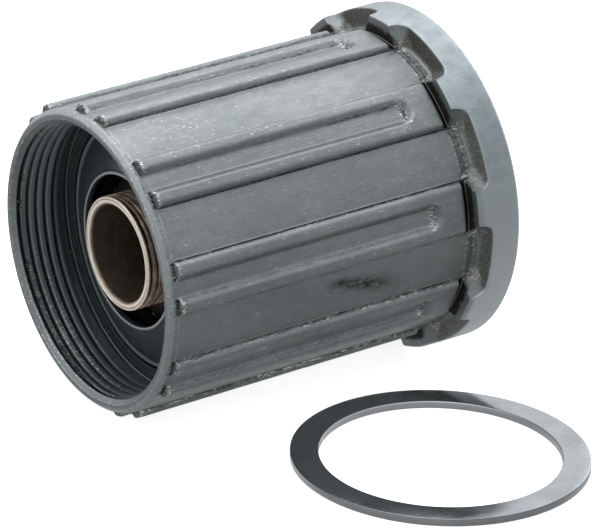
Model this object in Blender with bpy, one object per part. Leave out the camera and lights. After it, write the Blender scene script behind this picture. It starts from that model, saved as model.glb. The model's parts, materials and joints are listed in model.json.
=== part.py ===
"""Cassette freehub body with its pawl ratchet, two ball rows and a loose washer.

Metres, +Z up.  The freehub lies on its side on the surface z = 0 and rests on its
flange and on two spline ridges, so its axis leans by a small angle.  In the tilted
frame of the empty "freehub_axis", local Z is the turning axis (outboard), u = 0 is
the flange's front face, and angles are counted from local X towards local Y.
"""
import bpy
import bmesh
from math import atan2, cos, degrees, pi, radians, sin
from mathutils import Matrix, Vector

MM = 0.001
CLEARANCE = 0.3 * MM

# Outer shell: radii and stations along the axis
LAND_COUNT = 9
LAND_PITCH = radians(40.0)
LAND_PHASE = radians(9.84)
BASE_R = 16.5 * MM
LAND_R = 17.25 * MM
FLANGE_R = 18.8 * MM
FLANGE_BACK_R = 18.45 * MM
RELIEF_SLOT_R = 16.2 * MM
END_FACE_R = 16.05 * MM
MOUTH_U = 37.5 * MM
COLLAR_U = 37.05 * MM
LAND_START_U = 36.45 * MM
LAND_START_RAMP = 0.1 * MM
LAND_END_U = 0.6 * MM
LAND_END_RAMP = 0.08 * MM
STOP_FACE_R = 17.4 * MM
STOP_FACE_UNDERCUT = 0.05 * MM
GROOVE_END_U = 4.0 * MM
GROOVE_RUNOUT = 0.7 * MM
FLANGE_BACK_U = -5.4 * MM
POCKET_DEPTH = 1.75 * MM
FLANGE_EDGE = 0.15 * MM
FLANGE_CHAMFER_U = -4.95 * MM

# One land across its width: angle from its middle, height over the base with the
# groove, height without it, and the share of the pocket's depth by which the flange's
# front is cut back there, first at its foot and then at its rim.
LAND_OUTLINE = (
    (0.0, 0.08, 0.75, 0.0, 0.0),
    (3.4, 0.08, 0.75, 0.0, 0.0),
    (4.2, 0.50, 0.75, 0.0, 0.0),
    (5.3, 0.75, 0.75, 0.0, 0.0),
    (8.2, 0.75, 0.75, 0.0, 0.75),
    (9.3, 0.50, 0.50, 0.2, 0.95),
    (9.95, 0.0, 0.0, 0.75, 1.0),
    (11.8, 0.0, 0.0, 1.0, 1.0),
)
RIDGE_OUTER_DEG = 8.2
TOOTH_SIDE_DEG = 9.5

# Inner shell
MOUTH_R = 15.45 * MM
THREAD_MINOR_R = 14.95 * MM
THREAD_TOP_U = 37.0 * MM
THREAD_END_U = 31.4 * MM
RELIEF_R = 15.3 * MM
CUP_BORE_TOP_U = 30.9 * MM
CUP_BORE_R = 13.75 * MM
CUP_SHOULDER_U = 24.1 * MM
BODY_BORE_R = 12.2 * MM
RATCHET_TEETH = 24
RATCHET_ROOT_R = 12.75 * MM
RATCHET_TIP_R = 11.7 * MM
RATCHET_TOP_U = 8.0 * MM
RATCHET_BOTTOM_U = 1.5 * MM
LIP_R = 11.9 * MM
SEAL_FLOOR_U = -4.3 * MM
SEAL_RECESS_R = 12.6 * MM

# Ball rows
BALL_R = 1.5875 * MM
BALL_COUNT = 21
BALL_PITCH_R = 11.0 * MM
RACE_R = BALL_R + 0.15 * MM
RACE_SWEEP = radians(60.0)
OUTBOARD_ROW_U = 27.0 * MM
INBOARD_ROW_U = -1.9 * MM
BALL_SEGMENTS = 8
BALL_RINGS = 5

# Cup, dust cap and shims
CUP_R = CUP_BORE_R - CLEARANCE
CUP_BACK_U = 25.7 * MM
CUP_FRONT_U = 29.6 * MM
CUP_HOLE_R = 8.9 * MM
CAP_RIM_U = 30.3 * MM
CAP_RIM_R = 12.9 * MM
CAP_HOLE_R = 8.34 * MM
CAP_TOP_U = 32.42 * MM
CAP_THICKNESS = 0.4 * MM
SHIM_THICKNESS = 0.35 * MM
SHIM_HOLE_R = 12.5 * MM

# Inner core
CORE_FRONT_U = 29.0 * MM
CORE_NECK_R = 8.2 * MM
CORE_NECK_U = 27.9 * MM
CORE_TAIL_R = BALL_PITCH_R - RACE_R
CORE_WAIST_R = 9.6 * MM
CORE_WAIST_TOP_U = 24.4 * MM
CORE_WAIST_BOTTOM_U = 9.6 * MM
DRUM_R = 11.2 * MM
DRUM_TOP_U = 8.9 * MM
DRUM_BOTTOM_U = 0.4 * MM
CORE_BACK_U = -6.2 * MM
CORE_BORE_R = 6.55 * MM
SOCKET_TIP_R = 7.7 * MM
SOCKET_ROOT_R = 8.3 * MM
SOCKET_SPLINES = 12

# Threaded axle sleeve
SLEEVE_R = 6.22 * MM
SLEEVE_BORE_R = 5.3 * MM
SLEEVE_FRONT_U = 33.6 * MM
SLEEVE_CHAMFER = 0.25 * MM
SLEEVE_COLLAR_R = 7.3 * MM
SLEEVE_COLLAR_TOP_U = -0.3 * MM
SLEEVE_BACK_U = -2.4 * MM

# Pawls, swung out: (outward from the axis, along growing angle), from the pocket's
# middle line.  They are drawn folded in, clear of the ratchet teeth.
PAWL_COUNT = 2
PAWL_ANGLE = radians(62.0)
PAWL_HEEL = (9.75 * MM, -2.6 * MM)
PAWL_HEEL_R = 1.1 * MM
PAWL_HEEL_ARC = [radians(-15.0 - 35.0 * step) for step in range(6)]
PAWL_FOLD = radians(12.0)
PAWL_NOSE = ((10.9 * MM, 2.75 * MM), (12.12 * MM, 2.36 * MM), (11.4 * MM, -0.4 * MM))
PAWL_BOTTOM_U = 2.2 * MM
PAWL_TOP_U = 7.0 * MM
PAWL_TIP_GAP = radians(4.5)
POCKET_SPAN = (-4.1 * MM, 4.4 * MM)
POCKET_FLOOR_R = 8.35 * MM

# Pawl spring
SPRING_R = 10.62 * MM
SPRING_WIRE_R = 0.32 * MM
SPRING_U = 4.6 * MM
SPRING_GAP = radians(16.0)
SPRING_GAP_ANGLE = radians(152.0)
GROOVE_FLOOR_R = 9.85 * MM
GROOVE_WIDTH = 1.4 * MM

# Rubber seal at the back
SEAL_R = SEAL_RECESS_R - CLEARANCE
SEAL_HOLE_R = CORE_TAIL_R + CLEARANCE
SEAL_FRONT_U = SEAL_FLOOR_U - CLEARANCE
SEAL_BACK_U = -5.25 * MM

# Loose washer
WASHER_R = 15.8 * MM
WASHER_HOLE_R = 12.78 * MM
WASHER_THICKNESS = 0.85 * MM
WASHER_EDGE = 0.12 * MM
WASHER_FROM_AXIS_X = -11.8 * MM
WASHER_FROM_AXIS_Y = -29.6 * MM

ROUND_SEGMENTS = 48
SLEEVE_SEGMENTS = 32
SMOOTH_ANGLE = radians(28.0)


# Resting attitude ---------------------------------------------------------------

def resting_attitude():
    """Lean of the axis and height of u = 0, with flange and two ridges on z = 0."""
    half_channel = LAND_PITCH / 2 - radians(RIDGE_OUTER_DEG)
    ridge_r = LAND_R * cos(half_channel)
    lean = atan2(FLANGE_R - ridge_r, LAND_START_U + POCKET_DEPTH)
    height = FLANGE_R * cos(lean) - POCKET_DEPTH * sin(lean)
    return lean, height


def axis_place():
    """World place of u = 0, so that the whole part is centred on the origin."""
    lean, height = resting_attitude()
    low_x = -MOUTH_U * cos(lean) - END_FACE_R * sin(lean)
    high_x = max(
        -CORE_BACK_U * cos(lean) + CORE_TAIL_R * sin(lean),
        -FLANGE_BACK_U * cos(lean) + FLANGE_BACK_R * sin(lean),
    )
    low_y = WASHER_FROM_AXIS_Y - WASHER_R
    return Vector((-(low_x + high_x) / 2, -(low_y + FLANGE_R) / 2, height))


def axis_matrix():
    """Local X faces the washer, local Y is up, local Z is the outboard direction."""
    lean = resting_attitude()[0]
    side = Vector((0.0, -1.0, 0.0))
    up = Vector((-sin(lean), 0.0, cos(lean)))
    outboard = Vector((-cos(lean), 0.0, -sin(lean)))
    turn = Matrix((side, up, outboard)).transposed()
    return Matrix.Translation(axis_place()) @ turn.to_4x4()


# Mesh helpers -------------------------------------------------------------------

def material(name, color, roughness, metallic):
    mat = bpy.data.materials.new(name)
    mat.use_nodes = True
    shader = mat.node_tree.nodes["Principled BSDF"]
    shader.inputs["Base Color"].default_value = (*color, 1.0)
    shader.inputs["Roughness"].default_value = roughness
    shader.inputs["Metallic"].default_value = metallic
    return mat


def polar(radius, angle, u):
    return Vector((radius * cos(angle), radius * sin(angle), u))


def ring(bm, points):
    return [bm.verts.new(point) for point in points]


def skin(bm, first, second):
    """Quads between two rings of the same count."""
    count = len(first)
    for i in range(count):
        j = (i + 1) % count
        bm.faces.new((first[i], first[j], second[j], second[i]))


def zip_rings(bm, first, second):
    """Triangles between two rings of different counts that both run once round."""
    def angle(vert, turns):
        return atan2(vert.co.y, vert.co.x) % (2 * pi) + turns * 2 * pi

    a = sorted(first, key=lambda vert: angle(vert, 0))
    b = sorted(second, key=lambda vert: angle(vert, 0))
    i = 0
    j = 0
    while i < len(a) or j < len(b):
        next_a = angle(a[(i + 1) % len(a)], (i + 1) // len(a))
        next_b = angle(b[(j + 1) % len(b)], (j + 1) // len(b))
        here_a = a[i % len(a)]
        here_b = b[j % len(b)]
        if j >= len(b) or (i < len(a) and next_a <= next_b):
            bm.faces.new((here_a, a[(i + 1) % len(a)], here_b))
            i += 1
        else:
            bm.faces.new((here_a, b[(j + 1) % len(b)], here_b))
            j += 1


def mesh_object(name, bm, mat, parent):
    bmesh.ops.recalc_face_normals(bm, faces=bm.faces)
    mesh = bpy.data.meshes.new(name)
    bm.to_mesh(mesh)
    bm.free()
    mesh.shade_smooth()
    mesh.set_sharp_from_angle(angle=SMOOTH_ANGLE)
    mesh.materials.append(mat)
    return place(name, mesh, parent)


def place(name, mesh, parent):
    obj = bpy.data.objects.new(name, mesh)
    bpy.context.scene.collection.objects.link(obj)
    obj.parent = parent
    return obj


def turned(name, profile, mat, parent, segments=ROUND_SEGMENTS):
    """A ring-shaped piece: the closed (u, radius) outline turned round the axis."""
    bm = bmesh.new()
    angles = [2 * pi * k / segments for k in range(segments)]
    rings = [ring(bm, [polar(r, a, u) for a in angles]) for u, r in profile]
    for k, here in enumerate(rings):
        skin(bm, here, rings[(k + 1) % len(rings)])
    return mesh_object(name, bm, mat, parent)


def race_arc(row_u, start, sweep, steps=4):
    """(u, radius) points round a ball; 0 points away from the axis, 90 outboard."""
    angles = [start + sweep * k / steps for k in range(steps + 1)]
    return [(row_u + RACE_R * sin(a), BALL_PITCH_R + RACE_R * cos(a)) for a in angles]


def empty(name, parent, location=(0.0, 0.0, 0.0)):
    obj = bpy.data.objects.new(name, None)
    bpy.context.scene.collection.objects.link(obj)
    obj.parent = parent
    obj.location = location
    return obj


def cutter(obj):
    obj.hide_render = True
    obj.display_type = "WIRE"
    return obj


def cut(obj, tool):
    modifier = obj.modifiers.new("cut " + tool.name, "BOOLEAN")
    modifier.operation = "DIFFERENCE"
    modifier.solver = "EXACT"
    modifier.object = tool


# Shell --------------------------------------------------------------------------

def shell_columns():
    """Angle, both heights, angle from the land's middle and both cut-backs of each column."""
    half = [(a, g * MM, p * MM, foot * POCKET_DEPTH, rim * POCKET_DEPTH)
            for a, g, p, foot, rim in LAND_OUTLINE]
    mirrored = [(-column[0], *column[1:]) for column in reversed(half[1:])]
    middle = [(degrees(LAND_PITCH) / 2, 0.0, 0.0, POCKET_DEPTH, POCKET_DEPTH)]
    columns = []
    for k in range(LAND_COUNT):
        centre = LAND_PHASE + k * LAND_PITCH
        for a, groove, plain, foot, rim in mirrored + half + middle:
            columns.append((centre + radians(a), groove, plain, abs(a), foot, rim))
    return columns


def shell_outer_rows(columns):
    """Rows of points from the mouth's end face to the flange's back edge."""
    def row(u_of, r_of):
        return [polar(r_of(c), c[0], u_of(c)) for c in columns]

    def on_tooth(c):
        return c[3] < TOOTH_SIDE_DEG

    def slot_r(c):
        return RELIEF_SLOT_R if on_tooth(c) else BASE_R

    return [
        row(lambda c: MOUTH_U, lambda c: END_FACE_R),
        row(lambda c: COLLAR_U, lambda c: BASE_R),
        row(lambda c: LAND_START_U + LAND_START_RAMP, lambda c: BASE_R),
        row(lambda c: LAND_START_U, lambda c: BASE_R + c[1]),
        row(lambda c: GROOVE_END_U + GROOVE_RUNOUT, lambda c: BASE_R + c[1]),
        row(lambda c: GROOVE_END_U, lambda c: BASE_R + c[2]),
        row(lambda c: LAND_END_U, lambda c: BASE_R + c[2]),
        row(lambda c: LAND_END_U - LAND_END_RAMP, slot_r),
        row(lambda c: -c[4] - STOP_FACE_UNDERCUT, slot_r),
        row(lambda c: -c[4], lambda c: STOP_FACE_R),
        row(lambda c: -c[5], lambda c: FLANGE_R - FLANGE_EDGE),
        row(lambda c: -c[5] - FLANGE_EDGE, lambda c: FLANGE_R),
        row(lambda c: FLANGE_CHAMFER_U, lambda c: FLANGE_R),
        row(lambda c: FLANGE_BACK_U, lambda c: FLANGE_BACK_R),
    ]


def ratchet_columns():
    """Angle and tooth radius of each inner column; the steep faces meet the pawls."""
    pitch = 2 * pi / RATCHET_TEETH
    tip_out, tip_along = PAWL_NOSE[1]
    steep = PAWL_ANGLE + atan2(tip_along, tip_out) + PAWL_TIP_GAP
    depth = RATCHET_ROOT_R - RATCHET_TIP_R
    columns = []
    for k in range(RATCHET_TEETH):
        start = steep + k * pitch
        columns.append((start, RATCHET_TIP_R))
        columns.append((start + 0.45 * pitch, RATCHET_TIP_R + 0.48 * depth))
        columns.append((start + 0.96 * pitch, RATCHET_ROOT_R))
    return columns


def shell_inner_rows(columns):
    """Rows of points from the flange's back face to the mouth."""
    race = race_arc(INBOARD_ROW_U, -RACE_SWEEP, RACE_SWEEP)
    profile = [(FLANGE_BACK_U, SEAL_RECESS_R), (SEAL_FLOOR_U, SEAL_RECESS_R)]
    profile += [(SEAL_FLOOR_U, LIP_R)] + race
    profile += [(RATCHET_BOTTOM_U, race[-1][1])]
    profile += [(RATCHET_BOTTOM_U, None), (RATCHET_TOP_U, None)]
    profile += [(RATCHET_TOP_U, BODY_BORE_R), (CUP_SHOULDER_U, BODY_BORE_R)]
    profile += [(CUP_SHOULDER_U, CUP_BORE_R), (CUP_BORE_TOP_U, CUP_BORE_R)]
    profile += [(CUP_BORE_TOP_U, RELIEF_R), (THREAD_END_U, RELIEF_R)]
    profile += [(THREAD_END_U, THREAD_MINOR_R), (THREAD_TOP_U, THREAD_MINOR_R)]
    profile += [(MOUTH_U, MOUTH_R)]
    return [[polar(r or tooth, a, u) for a, tooth in columns] for u, r in profile]


def make_shell(mat, parent):
    bm = bmesh.new()
    outer = [ring(bm, points) for points in shell_outer_rows(shell_columns())]
    inner = [ring(bm, points) for points in shell_inner_rows(ratchet_columns())]
    for rows in (outer, inner):
        for first, second in zip(rows, rows[1:]):
            skin(bm, first, second)
    zip_rings(bm, outer[-1], inner[0])
    zip_rings(bm, inner[-1], outer[0])
    return mesh_object("freehub_body", bm, mat, parent)


def make_cup(mat, parent):
    arc = race_arc(OUTBOARD_ROW_U, 0.0, radians(90.0), 5)
    profile = [(CUP_BACK_U, CUP_R), (CUP_BACK_U, arc[0][1])] + arc
    profile += [(arc[-1][0], CUP_HOLE_R), (CUP_FRONT_U, CUP_HOLE_R), (CUP_FRONT_U, CUP_R)]
    return turned("bearing_cup", profile, mat, parent)


def make_dust_cap(mat, parent):
    profile = [
        (CAP_RIM_U, CUP_R),
        (CAP_RIM_U, CAP_RIM_R),
        (CAP_TOP_U, CAP_HOLE_R),
        (CAP_TOP_U - CAP_THICKNESS, CAP_HOLE_R),
        (CAP_RIM_U - CAP_THICKNESS, CAP_RIM_R),
        (CAP_RIM_U - CAP_THICKNESS, CUP_R),
    ]
    return turned("dust_cap", profile, mat, parent)


def flat_ring(name, low_u, high_u, hole_r, outer_r, mat, parent):
    profile = [(low_u, outer_r), (low_u, hole_r), (high_u, hole_r), (high_u, outer_r)]
    return turned(name, profile, mat, parent)


def make_shims(mat, parent):
    step = SHIM_THICKNESS + CLEARANCE
    for k in range(2):
        low_u = CUP_SHOULDER_U + CLEARANCE + k * step
        name = "cup_shim_%d" % (k + 1)
        flat_ring(name, low_u, low_u + SHIM_THICKNESS, SHIM_HOLE_R, CUP_R, mat, parent)


# Core ---------------------------------------------------------------------------

def core_outer_profile():
    front_race = race_arc(OUTBOARD_ROW_U, radians(180.0), RACE_SWEEP)
    back_race = race_arc(INBOARD_ROW_U, radians(180.0) - RACE_SWEEP, RACE_SWEEP)
    profile = [(CORE_FRONT_U, CORE_NECK_R), (CORE_NECK_U, CORE_NECK_R)]
    profile += [(CORE_NECK_U, CORE_TAIL_R)] + front_race
    profile += [(CORE_WAIST_TOP_U, CORE_WAIST_R), (CORE_WAIST_BOTTOM_U, CORE_WAIST_R)]
    profile += [(DRUM_TOP_U, DRUM_R), (DRUM_BOTTOM_U, DRUM_R)] + back_race
    profile += [(CORE_BACK_U, CORE_TAIL_R)]
    return profile


def make_core(mat, parent):
    bm = bmesh.new()
    count = 4 * SOCKET_SPLINES
    angles = [2 * pi * k / count for k in range(count)]
    spline = [SOCKET_TIP_R if k % 4 < 2 else SOCKET_ROOT_R for k in range(count)]
    rows = [[polar(r, a, u) for a in angles] for u, r in core_outer_profile()]
    rows += [[polar(r, a, CORE_BACK_U) for r, a in zip(spline, angles)]]
    rows += [[polar(r, a, 0.0) for r, a in zip(spline, angles)]]
    rows += [[polar(CORE_BORE_R, a, 0.0) for a in angles]]
    rows += [[polar(CORE_BORE_R, a, CORE_FRONT_U) for a in angles]]
    rings = [ring(bm, points) for points in rows]
    for k, here in enumerate(rings):
        skin(bm, here, rings[(k + 1) % len(rings)])
    return mesh_object("inner_core", bm, mat, parent)


def make_sleeve(mat, parent):
    profile = [
        (SLEEVE_FRONT_U, SLEEVE_BORE_R),
        (SLEEVE_FRONT_U, SLEEVE_R - SLEEVE_CHAMFER),
        (SLEEVE_FRONT_U - SLEEVE_CHAMFER, SLEEVE_R),
        (SLEEVE_COLLAR_TOP_U, SLEEVE_R),
        (SLEEVE_COLLAR_TOP_U, SLEEVE_COLLAR_R),
        (SLEEVE_BACK_U, SLEEVE_COLLAR_R),
        (SLEEVE_BACK_U, SLEEVE_BORE_R),
    ]
    return turned("axle_sleeve", profile, mat, parent, SLEEVE_SEGMENTS)


def prism(name, outline, low_u, high_u, mat, parent):
    bm = bmesh.new()
    low = ring(bm, [Vector((x, y, low_u)) for x, y in outline])
    high = ring(bm, [Vector((x, y, high_u)) for x, y in outline])
    skin(bm, low, high)
    bm.faces.new(low)
    bm.faces.new(high)
    return mesh_object(name, bm, mat, parent)


def make_groove_cutter(name, mat, parent):
    low_u = SPRING_U - GROOVE_WIDTH / 2
    tool = flat_ring(name, low_u, low_u + GROOVE_WIDTH, GROOVE_FLOOR_R,
                     RATCHET_ROOT_R + CLEARANCE, mat, parent)
    return cutter(tool)


def make_pocket_cutter(k, mat, parent):
    heel_end, nose_end = POCKET_SPAN
    outline = [(POCKET_FLOOR_R, heel_end), (RATCHET_ROOT_R, heel_end)]
    outline += [(RATCHET_ROOT_R, nose_end), (POCKET_FLOOR_R, nose_end)]
    tool = prism("cut_pawl_pocket_%d" % (k + 1), outline, PAWL_BOTTOM_U - CLEARANCE,
                 PAWL_TOP_U + CLEARANCE, mat, parent)
    tool.rotation_euler.z = pawl_turn(k)
    return cutter(tool)


def pawl_turn(k):
    """Angle of the pocket's middle line."""
    return PAWL_ANGLE + 2 * pi * k / PAWL_COUNT


def heel_place(k):
    """Centre of a pawl's round heel, which is its pivot."""
    return Matrix.Rotation(pawl_turn(k), 3, "Z") @ Vector((*PAWL_HEEL, 0.0))


def make_pawl(k, mat, parent):
    """A pawl whose origin is its pivot, with its notch for the spring."""
    heel_out, heel_along = PAWL_HEEL
    outline = [(x - heel_out, y - heel_along) for x, y in PAWL_NOSE]
    outline += [(PAWL_HEEL_R * cos(a), PAWL_HEEL_R * sin(a)) for a in PAWL_HEEL_ARC]
    pawl = prism("pawl_%d" % (k + 1), outline, PAWL_BOTTOM_U, PAWL_TOP_U, mat, parent)
    pawl.rotation_euler.z = pawl_turn(k) + PAWL_FOLD
    pawl.location = heel_place(k)

    notch = make_groove_cutter("cut_pawl_notch_%d" % (k + 1), mat, parent)
    notch.rotation_euler.z = PAWL_FOLD
    notch.location = heel_place(k) - Matrix.Rotation(PAWL_FOLD, 3, "Z") @ heel_place(k)
    cut(pawl, notch)


def make_spring(mat, parent, steps=40, sides=6):
    """Open wire ring in its groove."""
    bm = bmesh.new()
    sweep = 2 * pi - SPRING_GAP
    rings = []
    for k in range(steps + 1):
        a = SPRING_GAP_ANGLE + SPRING_GAP / 2 + sweep * k / steps
        wire = [2 * pi * side / sides for side in range(sides)]
        points = [polar(SPRING_R + SPRING_WIRE_R * cos(w), a, SPRING_U + SPRING_WIRE_R * sin(w))
                  for w in wire]
        rings.append(ring(bm, points))
    for first, second in zip(rings, rings[1:]):
        skin(bm, first, second)
    bm.faces.new(rings[0])
    bm.faces.new(rings[-1])
    return mesh_object("pawl_spring", bm, mat, parent)


def ball_mesh(mat):
    bm = bmesh.new()
    bmesh.ops.create_uvsphere(bm, u_segments=BALL_SEGMENTS, v_segments=BALL_RINGS,
                              radius=BALL_R)
    mesh = bpy.data.meshes.new("ball")
    bm.to_mesh(mesh)
    bm.free()
    mesh.shade_smooth()
    mesh.materials.append(mat)
    return mesh


def make_ball_row(side, row_u, mesh, parent):
    row = empty(side + "_row_axis", parent, (0.0, 0.0, row_u))
    for k in range(BALL_COUNT):
        ball = place("%s_ball_%02d" % (side, k + 1), mesh, row)
        ball.location = polar(BALL_PITCH_R, 2 * pi * k / BALL_COUNT, 0.0)


# Washer -------------------------------------------------------------------------

def make_washer(mat):
    low = 0.0
    high = WASHER_THICKNESS
    profile = [
        (low, WASHER_R - WASHER_EDGE),
        (low, WASHER_HOLE_R + WASHER_EDGE),
        (low + WASHER_EDGE, WASHER_HOLE_R),
        (high - WASHER_EDGE, WASHER_HOLE_R),
        (high, WASHER_HOLE_R + WASHER_EDGE),
        (high, WASHER_R - WASHER_EDGE),
        (high - WASHER_EDGE, WASHER_R),
        (low + WASHER_EDGE, WASHER_R),
    ]
    washer = turned("freehub_washer", profile, mat, None)
    axis = axis_place()
    washer.location = (axis.x + WASHER_FROM_AXIS_X, axis.y + WASHER_FROM_AXIS_Y, 0.0)


def clear_scene():
    for obj in list(bpy.data.objects):
        bpy.data.objects.remove(obj, do_unlink=True)


def build():
    clear_scene()
    dark_steel = material("gunmetal_steel", (0.19, 0.205, 0.215), 0.38, 0.85)
    cap_steel = material("dark_cap_steel", (0.07, 0.08, 0.09), 0.4, 0.8)
    core_steel = material("oiled_core_steel", (0.15, 0.15, 0.15), 0.35, 0.9)
    copper = material("copper_toned_sleeve", (0.36, 0.24, 0.17), 0.32, 0.9)
    pawl_steel = material("pawl_steel", (0.3, 0.29, 0.27), 0.3, 0.95)
    spring_steel = material("spring_wire", (0.45, 0.45, 0.44), 0.25, 1.0)
    ball_steel = material("ball_steel", (0.6, 0.6, 0.6), 0.1, 1.0)
    shim_steel = material("shim_steel", (0.5, 0.5, 0.48), 0.3, 1.0)
    rubber = material("seal_rubber", (0.02, 0.02, 0.02), 0.7, 0.0)
    washer_steel = material("washer_steel", (0.25, 0.26, 0.27), 0.22, 0.95)

    axis = empty("freehub_axis", None)
    axis.matrix_world = axis_matrix()
    make_shell(dark_steel, axis)
    make_cup(core_steel, axis)
    make_dust_cap(cap_steel, axis)
    make_shims(shim_steel, axis)

    core = make_core(core_steel, axis)
    make_sleeve(copper, axis)
    for k in range(PAWL_COUNT):
        cut(core, make_pocket_cutter(k, core_steel, axis))
        make_pawl(k, pawl_steel, axis)
    cut(core, make_groove_cutter("cut_spring_groove", core_steel, axis))
    make_spring(spring_steel, axis)
    flat_ring("inboard_seal", SEAL_BACK_U, SEAL_FRONT_U, SEAL_HOLE_R, SEAL_R, rubber, axis)

    ball = ball_mesh(ball_steel)
    make_ball_row("outboard", OUTBOARD_ROW_U, ball, axis)
    make_ball_row("inboard", INBOARD_ROW_U, ball, axis)
    make_washer(washer_steel)


build()
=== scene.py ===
import json
from math import atan2, cos, pi, radians, sin

import bmesh
import bpy
import numpy as np
from mathutils import Matrix, Vector, noise


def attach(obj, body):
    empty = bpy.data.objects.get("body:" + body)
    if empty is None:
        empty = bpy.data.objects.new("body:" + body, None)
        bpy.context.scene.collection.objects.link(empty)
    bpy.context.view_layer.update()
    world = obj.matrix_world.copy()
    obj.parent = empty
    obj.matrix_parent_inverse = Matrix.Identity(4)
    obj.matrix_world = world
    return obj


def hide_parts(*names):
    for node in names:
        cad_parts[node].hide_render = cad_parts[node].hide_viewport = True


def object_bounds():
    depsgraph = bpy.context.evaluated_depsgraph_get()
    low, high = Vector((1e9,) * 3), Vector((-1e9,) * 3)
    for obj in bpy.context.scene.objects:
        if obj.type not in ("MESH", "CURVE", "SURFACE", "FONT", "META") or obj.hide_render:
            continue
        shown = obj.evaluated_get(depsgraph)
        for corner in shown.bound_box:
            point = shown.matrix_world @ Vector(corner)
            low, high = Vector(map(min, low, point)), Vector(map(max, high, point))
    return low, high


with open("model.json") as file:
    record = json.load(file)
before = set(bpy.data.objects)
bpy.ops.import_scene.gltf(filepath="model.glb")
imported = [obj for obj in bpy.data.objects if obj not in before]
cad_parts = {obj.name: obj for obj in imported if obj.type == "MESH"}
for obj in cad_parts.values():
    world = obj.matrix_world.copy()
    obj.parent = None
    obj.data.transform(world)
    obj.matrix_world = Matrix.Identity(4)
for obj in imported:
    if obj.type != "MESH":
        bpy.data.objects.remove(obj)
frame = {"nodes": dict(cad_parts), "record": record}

CAD_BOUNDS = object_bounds()
MM = 0.001

# Driving dimensions in millimetres.  The freehub's own frame has u along the turning
# axis, from the flange's front face towards the threaded end, and radii from the axis.
# The pitch, phase, foot and flank of the lands, the sides, margin and flare of the
# pockets and the pawls' places are angles in degrees.
LAND_COUNT = 9
LAND_PITCH = 40.0
LAND_PHASE = 9.84
BASE_R = 16.5
LAND_HEIGHT = 0.75
LAND_FOOT = 9.95
LAND_FLANK = 2.1
LAND_START_U = 36.45
LAND_START_REACH = 0.2
GROOVE_HALF_WIDTH = 1.66
GROOVE_WALL = 0.88
GROOVE_FLOOR = 0.06
GROOVE_CENTRE_U = 5.0
SLOT_R = 16.2
SLOT_U = 0.62
TOOTH_SIDE = 9.5
FLANGE_R = 18.8
POCKET_MARGIN = 0.2
POCKET_DEPTH = 1.75
POCKET_CORNER = 1.35
POCKET_FILLET = 0.62
POCKET_FLARE = 4.0
FLANGE_CHAMFER_U = -4.95
FLANGE_BACK_U = -5.4
MOUTH_U = 37.5
THREAD_PITCH = 1.058
THREAD_MINOR_R = 14.88
THREAD_MAJOR_R = 15.42
THREAD_LOW_U = 31.2
THREAD_TURNS = 5
THREAD_SEAM = radians(30.0)
THREAD_END_U = 36.85
BORE_R = 12.2
RATCHET_TEETH = 24
RATCHET_TIP_R = 11.7
RATCHET_ROOT_R = 12.75
RATCHET_LOW_U = 1.5
RATCHET_TOP_U = 7.95
PAWL_HEEL_BEHIND = 14.93
PAWL_TIP_AHEAD = 11.02
PAWL_TIP_GAP = 4.5
BALL_COUNT = 21
BALL_R = 1.5875
BALL_PITCH_R = 11.0
RACE_R = BALL_R + 0.15
OUTBOARD_ROW_U = 27.0
INBOARD_ROW_U = -1.9
SLEEVE_R = 6.22
SLEEVE_BORE_R = 5.3
SLEEVE_FRONT_U = 33.6
SLEEVE_THREAD_LOW_U = 28.2
SLEEVE_THREAD_END_U = 33.19
SLEEVE_THREAD_TURNS = 6
SLEEVE_THREAD_PITCH = 0.8
SLEEVE_THREAD_ROOT_R = 5.74
SLEEVE_SEAM = radians(207.0)
WASHER_R = 15.8
WASHER_HOLE_R = 12.78
WASHER_THICKNESS = 0.85

# Points round the skins, and the angle between faces above which an edge stays sharp
OUTER_PER_LAND = 80
INNER_PER_TOOTH = 16
CAP_POINTS = 200
SLEEVE_POINTS = 144
SEAL_POINTS = 144
BALL_POINTS = 28
WASHER_POINTS = 288
SHARP_ABOVE = radians(35.0)


# Frame --------------------------------------------------------------------------

JOINTS = {joint["name"]: joint for joint in frame["record"]["behaviour"]["joints"]}


def axis_frame():
    """Matrix of the freehub's own frame: x to the washer, y up, z outboard."""
    outboard = Vector(JOINTS["freewheel_spin"]["axis"]).normalized()
    side = Vector((0.0, -1.0, 0.0))
    turn = Matrix((side, outboard.cross(side), outboard)).transposed()
    return Matrix.Translation(Vector(JOINTS["freewheel_spin"]["pos_m"])) @ turn.to_4x4()


AXIS = axis_frame()
AXIS_ARRAY = np.array(AXIS)

# The washer's middle from the freehub's own zero, over the table, in metres
WASHER_AWAY = (0.0118, 0.0296)
WASHER_MIDDLE = Vector((AXIS.translation.x - WASHER_AWAY[0],
                        AXIS.translation.y - WASHER_AWAY[1], 0.0))


def to_world(points):
    """Points in the freehub's frame, in mm, as world points in metres."""
    return np.asarray(points, float) * MM @ AXIS_ARRAY[:3, :3].T + AXIS_ARRAY[:3, 3]


def on_table(points):
    """Points in mm about the washer's middle as world points in metres."""
    return np.asarray(points, float) * MM + np.array(WASHER_MIDDLE)


def angle_of(place):
    """Angle round the turning axis of a world place."""
    local = AXIS.inverted() @ Vector(place)
    return atan2(local.y, local.x)


# Skins: rings of points joined into one closed surface -----------------------------

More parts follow.
